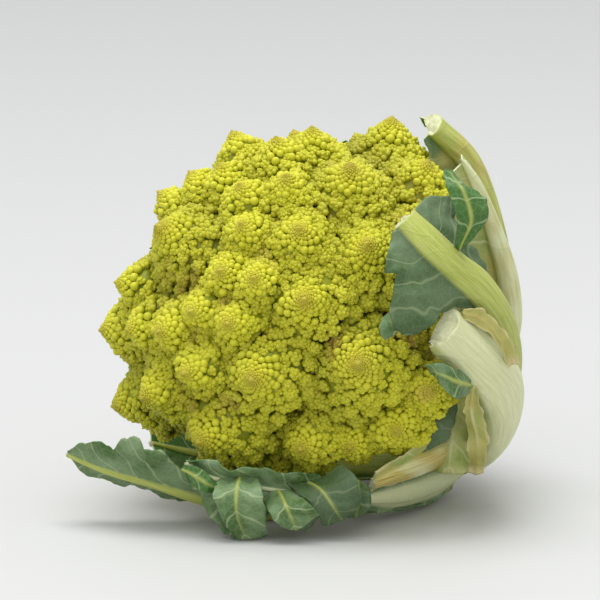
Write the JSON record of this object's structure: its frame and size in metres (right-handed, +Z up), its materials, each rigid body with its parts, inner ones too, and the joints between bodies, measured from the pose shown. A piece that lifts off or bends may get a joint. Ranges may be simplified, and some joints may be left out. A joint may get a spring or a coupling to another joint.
{
  "type": "romanesco head",
  "caption": "Whole romanesco head lying on its side: a dome of pointed spiral florets on a thick cut stem, wrapped at its base by trimmed and torn outer leaves.",
  "frame": {"origin": "on the table, under the middle of the whole head's bounding box", "axes": "+Z up, the head resting on its low outer leaves; -Y towards the viewer, so the dome's apex points to -X, -Y and up, and the cut stem to +X, +Y and down"},
  "size_m": [0.1956, 0.1996, 0.1643],
  "materials": {
    "curd": "matt, waxy yellow-green buds",
    "stem": "pale green-white, fibrous where it is cut",
    "stalk": "pale green, smooth and lightly waxed, with lengthwise fibres",
    "leaf": "grey-green, with a dull wax bloom and pale veins"
  },
  "bodies": {
    "root": {"crown": "curd", "floret_01": "curd", "floret_02": "curd", "floret_03": "curd", "floret_04": "curd", "floret_05": "curd", "floret_06": "curd", "floret_07": "curd", "floret_08": "curd", "floret_09": "curd", "floret_10": "curd", "floret_11": "curd", "floret_12": "curd", "floret_13": "curd", "floret_14": "curd", "floret_15": "curd", "floret_16": "curd", "floret_17": "curd", "floret_18": "curd", "floret_19": "curd", "floret_20": "curd", "floret_21": "curd", "floret_22": "curd", "floret_23": "curd", "floret_24": "curd", "floret_25": "curd", "floret_26": "curd", "floret_27": "curd", "floret_28": "curd", "floret_29": "curd", "floret_30": "curd", "floret_31": "curd", "floret_32": "curd", "floret_33": "curd", "floret_34": "curd", "floret_35": "curd", "floret_36": "curd", "floret_37": "curd", "floret_38": "curd", "floret_39": "curd", "floret_40": "curd", "floret_41": "curd", "floret_42": "curd", "floret_43": "curd", "floret_44": "curd", "floret_45": "curd", "floret_46": "curd", "leaf_back_low": "leaf", "leaf_back_mid": "leaf", "leaf_back_upper": "leaf", "leaf_cut_stalk": "stalk", "leaf_low_front": "leaf", "leaf_low_long": "leaf", "leaf_low_mid": "stalk", "leaf_right_stalk": "stalk", "leaf_top_back": "leaf", "leaf_upper_stalk": "leaf", "stem": "stem"}
  },
  "joints": []
}
